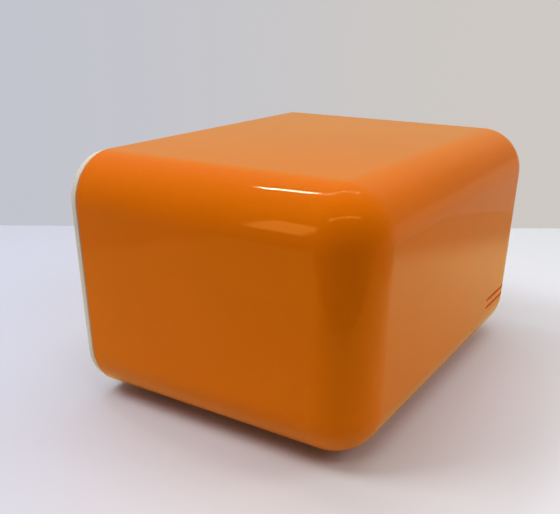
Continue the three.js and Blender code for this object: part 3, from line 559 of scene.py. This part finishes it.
def build_case():
    """One moulding: the skin, the battery hatch, the two sunk lines, and the rails and stop of the cover."""
    orange = MATERIAL["orange_shell"]
    shell = case_skin()
    left, right = COVER_LOW.x - 0.2 * MM, COVER_HIGH.x + 0.2 * MM
    front, back = COVER_LOW.y - 0.5 * MM, COVER_HIGH.y
    side_margin, end_margin = 3 * MM, 4 * MM
    under, above = BOTTOM_Z - 5 * MM, BOTTOM_Z + WALL + 2 * MM
    cut(shell, block("hatch_tool", (left + side_margin, front + end_margin, under),
                     (right - side_margin, back - end_margin, above), orange))
    for z in MARK_HEIGHTS:
        cut(shell, mark_groove(z))
    rail, grip = 1.2 * MM, 1.4 * MM
    root = BOTTOM_Z + 1 * MM
    for x0, x1, lip0, lip1 in ((left - rail, left, left - rail, left + grip),
                               (right, right + rail, right - grip, right + rail)):
        web = block("rail_tool", (x0, front, 0.45 * MM), (x1, back, root), orange)
        ledge = block("rail_tool", (lip0, front, 0.4 * MM), (lip1, back, 0.9 * MM), orange)
        join(shell, web, ledge)
    join(shell, block("stop_tool", (left - rail, front - rail, 0.4 * MM),
                      (right + rail, front + 0.1 * MM, root), orange))
    place(shell, "chassis", "case_shell", slot="orange_shell", angle=28)


def mark_groove(z):
    """A shallow trough with round ends, to be cut from the back as one plain line."""
    height, depth = 1.9 * MM, 0.6 * MM
    outline = rounded_outline(MARK_RIGHT - MARK_LEFT, height, height * 0.49, 6)
    return extruded("mark_tool", outline, BACK_Y - depth, BACK_Y + 2 * MM, MATERIAL["orange_shell"],
                    ((MARK_LEFT + MARK_RIGHT) / 2, z))


# ---------------------------------------------------------------- front panel

def panel_outline(inset=0.0, steps=20):
    width = PANEL_HIGH.x - PANEL_LOW.x
    height = PANEL_HIGH.z - PANEL_LOW.z
    radius = CORNER - 1 * MM
    return rounded_outline(width - 2 * inset, height - 2 * inset, radius - inset, steps)


def panel_rings():
    """Rings from the rounded front edge of the slab back to the skirt and the step of the lip."""
    edge = 1.6 * MM
    back = RIM_Y - PANEL_GAP
    rings = []
    for k in range(9):
        angle = math.radians(90 * k / 8)
        y = FACE_Y + edge - edge * math.cos(angle)
        outline = panel_outline(edge - edge * math.sin(angle))
        rings.append([(x, y, MIDDLE_Z + z) for x, z in outline])
    chamfer, step = 0.3 * MM, 3 * MM
    for inset, y in ((0, back - chamfer), (chamfer, back), (step, back), (step, back - 1.5 * MM)):
        rings.append([(x, y, MIDDLE_Z + z) for x, z in panel_outline(inset)])
    return rings


def panel_lip():
    """The locating wall that reaches into the case."""
    cream = MATERIAL["cream_panel"]
    centre = (0, MIDDLE_Z)
    lip = extruded("lip_tool", panel_outline(2.2 * MM), RIM_Y - 2.4 * MM, RIM_Y + 8 * MM, cream, centre)
    inside = extruded("lip_tool", panel_outline(4.2 * MM), RIM_Y - 4 * MM, RIM_Y + 12 * MM, cream, centre)
    return cut(lip, inside)


def build_panel():
    """The slab with its skirt and lip, its three openings and its four posts."""
    cream = MATERIAL["cream_panel"]
    panel = loft("panel_skin", panel_rings(), cream)
    join(panel, panel_lip())
    before, through = FACE_Y - 5 * MM, 14 * MM
    window = rod("window_tool", WINDOW_HOLE, (WHEEL_X, before, WHEEL_Z), through, "Y", cream, 128)
    bush = rod("knob_tool", KNOB_HOLE, (KNOB_X, before, KNOB_Z), through, "Y", cream)
    low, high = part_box("intake_grille")
    overlap = 2 * MM
    grille = block("grille_tool", (low.x + overlap, before, low.z + overlap),
                   (high.x - overlap, FACE_Y + 9 * MM, high.z - overlap), cream)
    cut(panel, window, bush, grille)
    for x, z in POST_PLACES:
        start = (x * MM, FACE_Y + POST_ROOT, z * MM)
        join(panel, rod("post_tool", POST_RADIUS, start, POST_END - FACE_Y - POST_ROOT, "Y", cream, 32))
    place(panel, "chassis", "front_panel", slot="cream_panel", angle=30)


def build_bezel():
    """The raised ring round the window, with a bead and a step."""
    low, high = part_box("window_bezel")
    depth, seat = high.y - low.y, FACE_Y - low.y - HAIR
    inner, outer, sleeve_outer = 38.5 * MM, 43.5 * MM, 40.2 * MM
    profile = filleted([(inner, depth), (inner, 1.4 * MM), (inner + 1.3 * MM, 0), (outer - 1.7 * MM, 0),
                        (outer, 1.6 * MM), (outer, seat), (sleeve_outer, seat), (sleeve_outer, depth)],
                       0.9 * MM)
    ring = turned("bezel_skin", profile, (WHEEL_X, low.y, WHEEL_Z), MATERIAL["orange_shell"], sides=160)
    place(ring, "chassis", "window_bezel", slot="orange_shell")


def build_grille():
    """A frame with a sleeve behind it, which goes through the panel."""
    low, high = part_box("intake_grille")
    orange = MATERIAL["orange_shell"]
    centre = ((low.x + high.x) / 2, (low.z + high.z) / 2)
    width, height = high.x - low.x, high.z - low.z

    def plate(name, less, radius, steps, y0, y1):
        outline = rounded_outline(width - less, height - less, radius, steps)
        return extruded(name, outline, y0, y1, orange, centre)

    border = plate("grille_skin", 0, 3 * MM, 8, low.y, FACE_Y - HAIR)
    hole = plate("hole_tool", 8 * MM, 1.5 * MM, 6, low.y - MM, high.y + MM)
    join(border, plate("sleeve_tool", 4.6 * MM, 2 * MM, 6, FACE_Y - MM, high.y))
    cut(border, hole)
    soften(border, 0.35 * MM)
    apply_modifiers(border)
    place(border, "chassis", "intake_grille", slot="orange_shell")
    build_louvres(low, high, 4 * MM, 8)


def build_louvres(low, high, border, spaces):
    """Slats across the grille, whose noses are round and tipped down."""
    pitch = (high.z - low.z - 2 * border) / spaces
    for i in range(1, spaces):
        z = low.z + border + i * pitch
        section = filleted([(low.y + 0.6 * MM, z - 1.5 * MM), (low.y + 1.0 * MM, z + 0.3 * MM),
                            (high.y, z + 1.3 * MM), (high.y, z - 0.3 * MM)], 0.5 * MM)
        rings = [[(x, y, h) for y, h in section] for x in (low.x + 3 * MM, high.x - 3 * MM)]
        louvre = loft(f"grille_louvre_{i}", rings, MATERIAL["orange_shell"])
        place(louvre, "chassis", slot="orange_shell")


def build_dial_marks():
    """A small dot at off and a small bar at on, printed on the panel beside the knob."""
    radius, width = 22.5 * MM, 1.6 * MM
    for name, degrees, length in (("dial_mark_off", 135, 1.6 * MM), ("dial_mark_on", 45, 5 * MM)):
        angle = math.radians(degrees)
        outline = rounded_outline(length, width, 0.79 * MM, 6)
        mark = extruded(name, outline, FACE_Y - 0.12 * MM, FACE_Y + 0.3 * MM, MATERIAL["charcoal_plastic"])
        spot = (KNOB_X + radius * math.cos(angle), 0, KNOB_Z + radius * math.sin(angle))
        mark.data.transform(Matrix.Translation(spot) @ Matrix.Rotation(-angle, 4, "Y"))
        place(mark, "chassis", slot="charcoal_plastic")


def knob_profile(front, back):
    """From the dished front over the rim, along the flutes, and up inside to the bore of the stem."""
    radius, dish, stem, bore = KNOB_RADIUS, 0.7 * MM, 5.2 * MM, 3.15 * MM
    return filleted([(ON_AXIS, front + dish), (11.5 * MM, front + dish), (13 * MM, front),
                     (radius - 2.6 * MM, front), (radius - 1 * MM, front + 1.8 * MM),
                     (radius - 0.35 * MM, back - 1 * MM), (radius - 0.1 * MM, back), (radius - 2 * MM, back),
                     (radius - 2 * MM, back - 4 * MM), (stem, back - 4 * MM), (stem, back - 2.2 * MM),
                     (bore, back - 2.2 * MM), (bore, front + 2.6 * MM), (ON_AXIS, front + 2.6 * MM)],
                    0.8 * MM)


def build_knob():
    """A fluted cap with a dished top, a stem, and a cream line that points at the marks."""
    front, back = KNOB_LOW.y, KNOB_HIGH.y
    flutes, flute_depth = 28, 0.45 * MM

    def flute(angle, r, y):
        depth = flute_depth * max(0.0, math.cos(flutes * angle)) ** 2
        return -depth if r > KNOB_RADIUS - 1.3 * MM and front + 2 * MM < y < back - 0.8 * MM else 0.0

    knob = turned("knob_skin", knob_profile(front, back), (KNOB_X, 0, KNOB_Z), MATERIAL["orange_moving"],
                  sides=12 * flutes, ripple=flute)
    place(knob, "power_knob", "power_knob", slot="orange_shell", angle=40)
    outline = rounded_outline(1.7 * MM, 9 * MM, 0.8 * MM, 6)
    line = extruded("knob_pointer", outline, front, front + 1.2 * MM, MATERIAL["cream_panel"])
    turn = Matrix.Rotation(-math.radians(45), 4, "Y")
    line.data.transform(Matrix.Translation((KNOB_X, 0, KNOB_Z)) @ turn @ Matrix.Translation((0, 0, 8 * MM)))
    soften(line, 0.25 * MM)
    apply_modifiers(line)
    place(line, "power_knob", slot="cream_panel")


# ---------------------------------------------------------------- wet side

def wheel_hub():
    """A tapered hub with the bore of the shaft."""
    front, back = WAND_FRONT, WAND_BACK + 1 * MM
    profile = filleted([(2.15 * MM, front - 1.3 * MM), (4.5 * MM, front - 1.3 * MM), (7 * MM, front + 1 * MM),
                        (7 * MM, back), (2.15 * MM, back)], 0.7 * MM)
    return turned("wheel_skin", profile, (WHEEL_X, 0, WHEEL_Z), MATERIAL["orange_moving"], sides=64)


def wheel_spoke():
    """A spoke along +X from the hub, waisted in the middle."""
    middle, half_depth = (WAND_FRONT + WAND_BACK) / 2, 1.6 * MM
    rings = []
    for reach, half in ((5.5, 2.4), (10, 1.7), (15, 1.5), (19.5, 1.9)):
        section = filleted([(middle - half_depth, -half * MM), (middle + half_depth, -half * MM),
                            (middle + half_depth, half * MM), (middle - half_depth, half * MM)], 0.6 * MM, 3)
        rings.append([(reach * MM, y, z) for y, z in section])
    return loft("spoke_tool", rings, MATERIAL["orange_moving"])


def wand_ring():
    """A ring about the origin, with ribs round its bore that hold the solution."""
    ribs, rib_depth, seat = 20, 0.55 * MM, WAND_INNER + 0.5 * MM

    def rib(angle, r, y):
        return -rib_depth * (0.5 + 0.5 * math.cos(ribs * angle)) if r < WAND_INNER + 0.6 * MM else 0.0

    profile = filleted([(seat, WAND_FRONT), (WAND_OUTER, WAND_FRONT), (WAND_OUTER, WAND_BACK),
                        (seat, WAND_BACK)], 0.6 * MM, 4)
    return turned("ring_tool", profile, (0, 0, 0), MATERIAL["orange_moving"], sides=160, ripple=rib)


def build_wheel():
    """Ribbed wand rings on waisted spokes, with a hub and its domed cap."""
    wheel = wheel_hub()
    for i in range(WAND_COUNT):
        angle = 2 * math.pi * i / WAND_COUNT + math.pi / 2
        turn = Matrix.Translation((WHEEL_X, 0, WHEEL_Z)) @ Matrix.Rotation(-angle, 4, "Y")
        spoke = wheel_spoke()
        spoke.data.transform(turn)
        join(wheel, spoke)
        ring = wand_ring()
        ring.data.transform(turn @ Matrix.Translation((WAND_PITCH, 0, 0)))
        join(wheel, ring)
    place(wheel, "wand_wheel", "wand_wheel", slot="orange_shell", angle=40)
    dome = disc_solid([(3.0 * MM, WAND_FRONT - 1.5 * MM), (4.2 * MM, WAND_FRONT - 0.2 * MM),
                       (4.2 * MM, WAND_FRONT + 0.6 * MM)])
    cap = turned("wheel_cap", filleted(dome, 0.5 * MM), (WHEEL_X, 0, WHEEL_Z), MATERIAL["cream_panel"],
                 sides=48)
    place(cap, "wand_wheel", slot="cream_panel")


def arc_points(radius, start, sweep, steps):
    """Points of an arc about the origin."""
    angles = [start + sweep * k / steps for k in range(steps + 1)]
    return [(radius * math.cos(angle), radius * math.sin(angle)) for angle in angles]


def drum_outline(radius, top, extra=0.0):
    """The lower part of a circle about the wheel's axis, cut off level at a height, or that much above it."""
    dip = math.asin((WHEEL_Z - top) / radius)
    points = arc_points(radius, math.pi + dip, math.pi - 2 * dip, 64)
    if extra:
        points += [(points[-1][0], points[-1][1] + extra), (points[0][0], points[0][1] + extra)]
    return points


def build_trough():
    """The half-drum that holds the solution, with a rounded rim."""
    low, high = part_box("solution_trough")
    cream = MATERIAL["cream_panel"]
    wall, over_rim = 2 * MM, 6 * MM
    centre = (WHEEL_X, WHEEL_Z)
    trough = extruded("trough_skin", drum_outline(TROUGH_OUTER, high.z), low.y, high.y, cream, centre)
    inside = drum_outline(TROUGH_INNER, high.z, over_rim)
    cut(trough, extruded("inside_tool", inside, low.y + wall, high.y - wall, cream, centre))
    soften(trough, 0.6 * MM, 4, 40)
    apply_modifiers(trough)
    place(trough, "chassis", "solution_trough", slot="cream_panel")


def build_hood():
    """The arched shield over the wheel."""
    low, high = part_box("splash_hood")
    start = -math.asin((WHEEL_Z - low.z) / HOOD_OUTER)
    sweep = math.pi - 2 * start
    outline = arc_points(HOOD_OUTER, start, sweep, 72) + arc_points(HOOD_INNER, start, sweep, 72)[::-1]
    hood = extruded("hood_skin", outline, low.y, high.y, MATERIAL["charcoal_plastic"], (WHEEL_X, WHEEL_Z))
    soften(hood, 0.4 * MM, 2, 40)
    apply_modifiers(hood)
    place(hood, "chassis", "splash_hood", slot="charcoal_plastic")


def build_nozzle():
    """The air pipe with a flared mouth and a square flange."""
    low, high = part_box("air_nozzle")
    white = MATERIAL["white_plastic"]
    bore, mouth, outer = 11 * MM, 11.6 * MM, 12.5 * MM
    profile = filleted([(bore, high.y), (bore, low.y + 2 * MM), (mouth, low.y), (outer, low.y),
                        (outer, high.y)], 0.5 * MM)
    pipe = turned("nozzle_skin", profile, (WHEEL_X, 0, NOZZLE_Z), white)
    flange = block("flange_tool", (low.x, high.y - 2 * MM, low.z), (high.x, high.y, high.z), white)
    cut(flange, rod("bore_tool", 11.7 * MM, (WHEEL_X, high.y - 5 * MM, NOZZLE_Z), 8 * MM, "Y", white))
    join(pipe, flange)
    place(pipe, "chassis", "air_nozzle", slot="white_plastic")


# ---------------------------------------------------------------- underside

def build_feet():
    """Round rubber feet with a chamfer, a ring in the sole and a barbed plug."""
    radius, neck, shoulder = 4.8 * MM, 2 * MM, BOTTOM_Z - 0.3 * MM
    ring_depth, chamfer = 0.35 * MM, 0.9 * MM
    outline = disc_solid([(1.4 * MM, 0), (1.7 * MM, ring_depth), (2.1 * MM, ring_depth), (2.4 * MM, 0),
                          (radius - chamfer, 0), (radius, chamfer), (radius, shoulder), (neck, shoulder),
                          (neck, 5.8 * MM), (2.9 * MM, 6.2 * MM), (neck, 7.8 * MM)])
    profile = filleted(outline, 0.2 * MM, 3)
    for node in ("foot_front_left", "foot_front_right", "foot_rear_left", "foot_rear_right"):
        low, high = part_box(node)
        centre = ((low.x + high.x) / 2, (low.y + high.y) / 2, 0)
        foot = turned(f"{node}_skin", profile, centre, MATERIAL["rubber_black"], sides=48, axis="Z")
        place(foot, "chassis", node, slot="rubber_black")


def build_cover():
    """The sliding battery cover with rounded corners, a ribbed thumb grip and a moulded arrow."""
    top, under = COVER_HIGH.z, COVER_LOW.z + 0.6 * MM
    sunk, proud = under - 0.3 * MM, under + 0.3 * MM
    width, length = COVER_HIGH.x - COVER_LOW.x, COVER_HIGH.y - COVER_LOW.y
    centre = Vector(((COVER_LOW.x + COVER_HIGH.x) / 2, (COVER_LOW.y + COVER_HIGH.y) / 2, 0))

    def plate(name, outline, z0, z1, rounding):
        rings = [[(centre.x + x, centre.y + y, z) for x, y in outline] for z in (z0, z1)]
        return apply_modifiers(soften(loft(name, rings, MATERIAL["orange_moving"]), rounding, 2))

    cover = plate("cover_skin", rounded_outline(width, length, 1.2 * MM, 6), under, top, 0.3 * MM)
    place(cover, "battery_cover", "battery_cover", slot="orange_shell")
    for i in range(5):
        y = length / 2 - (5 + 2.2 * i) * MM
        outline = [(x, y + v) for x, v in rounded_outline(18 * MM, 1.1 * MM, 0.5 * MM, 5)]
        rib = plate(f"cover_grip_{i + 1}", outline, COVER_LOW.z, proud, 0.25 * MM)
        place(rib, "battery_cover", slot="orange_shell")
    head = length / 2 - 20 * MM
    arrow = [(0, head), (-5 * MM, head - 6 * MM), (5 * MM, head - 6 * MM)]
    mark = plate("cover_arrow", filleted(arrow, 0.8 * MM), sunk, proud, 0.15 * MM)
    place(mark, "battery_cover", slot="orange_shell")


def build_batteries():
    """Each cell: a sleeved can, a crimped shoulder and metal ends."""
    for number in range(1, 5):
        low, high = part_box(f"battery_{number}")
        centre = ((low.x + high.x) / 2, 0, (low.z + high.z) / 2)
        foot, inner = low.y + 0.7 * MM, 9.6 * MM
        jacket = filleted([(inner, foot), (CELL_RADIUS, foot), (CELL_RADIUS, high.y - 3 * MM),
                           (CELL_RADIUS - 1.2 * MM, high.y - 2 * MM), (inner, high.y - 2 * MM)], 0.7 * MM)
        jacket_piece = turned(f"cell_jacket_{number}", jacket, centre, MATERIAL["cell_jacket"])
        place(jacket_piece, "chassis", f"battery_{number}", slot="cell_jacket")
        can = 9.3 * MM
        ends = disc_solid([(can, low.y + 0.2 * MM), (can, high.y - 2.2 * MM), (3.6 * MM, high.y - 1.8 * MM),
                           (3.4 * MM, high.y)])
        core = turned(f"cell_can_{number}", filleted(ends, 0.5 * MM), centre, MATERIAL["steel"])
        place(core, "chassis", slot="steel")


def build_screws():
    """Cross-head screws with domed heads."""
    steel = MATERIAL["steel"]
    arm, half_slot, slot_depth = 1.6 * MM, 0.35 * MM, 0.9 * MM
    for node in ("panel_screw_left", "panel_screw_right"):
        low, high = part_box(node)
        x, y = (low.x + high.x) / 2, (low.y + high.y) / 2
        head, shank = 2.8 * MM, 1.4 * MM
        outline = disc_solid([(1.2 * MM, low.z), (2.3 * MM, low.z + 0.4 * MM), (head, low.z + 1.2 * MM),
                              (head, low.z + 1.7 * MM), (shank, low.z + 1.8 * MM), (shank, high.z)])
        screw = turned(f"{node}_skin", filleted(outline, 0.3 * MM), (x, y, 0), steel, sides=48, axis="Z")
        for half_x, half_y in ((arm, half_slot), (half_slot, arm)):
            cut(screw, block("slot_tool", (x - half_x, y - half_y, low.z - MM),
                             (x + half_x, y + half_y, low.z + slot_depth), steel))
        place(screw, "chassis", node, slot="steel")


# ---------------------------------------------------------------- the rest of the CAD nodes

def dress_cad_nodes():
    """Every CAD node that is still shown gets its own detailed material and softened edges."""
    slots = {row["node"]: row["material_slot"] for row in frame["record"]["subparts"]}
    for name, obj in frame["nodes"].items():
        obj.data.materials.clear()
        obj.data.materials.append(MATERIAL[slots[name]])
        if obj.hide_render:
            continue
        for polygon in obj.data.polygons:
            polygon.use_smooth = True
        obj.data.set_sharp_from_angle(angle=math.radians(35))
        soften(obj, 0.15 * MM, 2, 40)


# ---------------------------------------------------------------- stage, light and camera

def build_floor():
    """A pale table top with soft edges, square to the camera."""
    outline = rounded_outline(TABLE_WIDTH, TABLE_DEPTH, 0.06, 24)
    edge = 6 * MM
    rings = [[(x, y, -TABLE_THICKNESS) for x, y in outline]]
    for k in range(7):
        angle = math.radians(90 * k / 6)
        inset = edge * (1 - math.cos(angle))
        grown = [(x * (1 - inset / TABLE_WIDTH * 2), y * (1 - inset / TABLE_DEPTH * 2)) for x, y in outline]
        rings.append([(x, y, -edge + edge * math.sin(angle)) for x, y in grown])
    floor = loft("floor", rings, floor_material())
    floor.data.transform(Matrix.Rotation(CAMERA_AZIMUTH, 4, "Z"))
    shade(floor)


def rectangle_light(name, length, width, power, colour=(1, 1, 1)):
    """A flat light at the origin, to be placed."""
    data = bpy.data.lights.new(name, "AREA")
    data.shape = "RECTANGLE"
    data.size, data.size_y = length, width
    data.energy = power
    data.color = colour
    light = bpy.data.objects.new(name, data)
    bpy.context.scene.collection.objects.link(light)
    return light


def area_light(name, towards, distance, size, power, colour=(1, 1, 1), reflects=False):
    """A flat light that far out in a direction, facing the object. Gloss shows it only if it reflects."""
    light = rectangle_light(name, *size, power, colour)
    light.location = LIT_CENTRE + Vector(towards).normalized() * distance
    light.rotation_euler = (LIT_CENTRE - light.location).to_track_quat("-Z", "Y").to_euler()
    light.visible_glossy = reflects


def tube_light(name, start, end, width, power):
    """A long thin light between two points of the ceiling, for a line of highlight on the rounded edges."""
    a, b = Vector((*start, CEILING_HEIGHT)), Vector((*end, CEILING_HEIGHT))
    light = rectangle_light(name, (b - a).length, width, power)
    along = (b - a).normalized()
    middle = (a + b) / 2
    back = (middle - LIT_CORNER).normalized()
    side = back.cross(along).normalized()
    light.matrix_world = Matrix.Translation(middle) @ Matrix((along, side, back)).transposed().to_4x4()


def build_world():
    """A plain pale backdrop for the camera, and the tones of a room, which the gloss and the light take."""
    world = bpy.data.worlds.new("studio")
    world.use_nodes = True
    graph = Graph(world.node_tree)
    direction = graph.add("ShaderNodeTexCoord").outputs["Generated"]
    wall = graph.mix(graph.along(direction, CAMERA_RIGHT, -0.35, 0.35), WALL_COOL, WALL_WARM)
    tones = graph.mix(graph.along(direction, CAMERA_RIGHT, 0.4, 0.7), wall, WALL_SIDES)
    tones = graph.mix(graph.along(direction, TOWARDS_CAMERA, -0.3, 0.5), tones, WALL_SIDES)
    ceiling = graph.multiply(graph.along(direction, UP, *HORIZON),
                             graph.along(direction, TOWARDS_CAMERA, -0.9, -0.6, 1, 0))
    tones = graph.mix(ceiling, tones, CEILING)
    dimming = graph.multiply(graph.along(direction, UP, *HORIZON, 1.0, 0.6),
                             graph.along(direction, TOWARDS_CAMERA, -0.1, 0.9, 1.0, 0.4))
    room = world.node_tree.nodes["Background"]
    graph.link(tones, room.inputs["Color"])
    graph.link(dimming, room.inputs["Strength"])
    backdrop = graph.add("ShaderNodeBackground")
    graph.link(wall, backdrop.inputs["Color"])
    seen = graph.add("ShaderNodeMixShader")
    graph.link(graph.add("ShaderNodeLightPath").outputs["Is Camera Ray"], seen.inputs["Fac"])
    graph.link(room.outputs[0], seen.inputs[1])
    graph.link(backdrop.outputs[0], seen.inputs[2])
    graph.link(seen.outputs[0], world.node_tree.nodes["World Output"].inputs["Surface"])
    bpy.context.scene.world = world


def build_lights():
    """Soft light from above, from the side and from behind, a window, and bright lines on the ceiling."""
    area_light("overhead", towards=(0.0, 0.1, 1.0), distance=1.2, size=(1.0, 1.0), power=4.9,
               colour=(1.0, 0.985, 0.97))
    area_light("side_fill", towards=(0.75, -0.85, 1.5), distance=1.1, size=(0.4, 0.4), power=4.8)
    area_light("back_fill", towards=(-0.5, 0.9, 0.6), distance=1.1, size=(0.5, 0.5), power=3.0,
               colour=(1.0, 0.98, 0.95))
    area_light("window", towards=(1.137, -0.605, 0.43), distance=1.36, size=(0.13, 0.42), power=0.7,
               colour=(1.0, 0.85, 0.7), reflects=True)
    for number, (start, end) in enumerate(LINE_ENDS, 1):
        tube_light(f"ceiling_line_{number}", start, end, width=0.009, power=0.3)
    tube_light("ceiling_line_far", (-0.09, -0.42), (-0.51, 0.13), width=0.005, power=0.5)
    tube_light("ceiling_line_near", (0.93, -0.09), (0.27, 0.80), width=0.008, power=1.5)


def build_camera():
    """The viewing angle of the reference: from behind and to the right, looking down."""
    data = bpy.data.cameras.new("camera")
    data.lens, data.sensor_width = CAMERA_LENS, CAMERA_SENSOR
    data.shift_x, data.shift_y = CAMERA_SHIFT_X, CAMERA_SHIFT_Y
    data.clip_start, data.clip_end = 0.01, 50
    camera = bpy.data.objects.new("camera", data)
    bpy.context.scene.collection.objects.link(camera)
    level, tilt = math.cos(CAMERA_ELEVATION), math.sin(CAMERA_ELEVATION)
    back = Vector((math.sin(CAMERA_AZIMUTH) * level, -math.cos(CAMERA_AZIMUTH) * level, tilt))
    right = (-back).cross(Vector(UP)).normalized()
    up = right.cross(-back)
    side = math.cos(CAMERA_ROLL) * right + math.sin(CAMERA_ROLL) * up
    top = -math.sin(CAMERA_ROLL) * right + math.cos(CAMERA_ROLL) * up
    centre = Vector((0, (RIM_Y + BACK_Y) / 2, MIDDLE_Z))
    basis = Matrix((side, top, back)).transposed().to_4x4()
    camera.matrix_world = Matrix.Translation(centre + Vector(CAMERA_OFFSET) * HEIGHT) @ basis
    bpy.context.scene.camera = camera


build_camera()
build_world()
build_lights()
build_floor()
build_case()
build_panel()
build_bezel()
build_grille()
build_dial_marks()
build_knob()
build_wheel()
build_trough()
build_hood()
build_nozzle()
build_feet()
build_cover()
build_batteries()
build_screws()
dress_cad_nodes()

bpy.context.scene.view_settings.view_transform = "Standard"
bpy.context.scene.view_settings.look = "None"
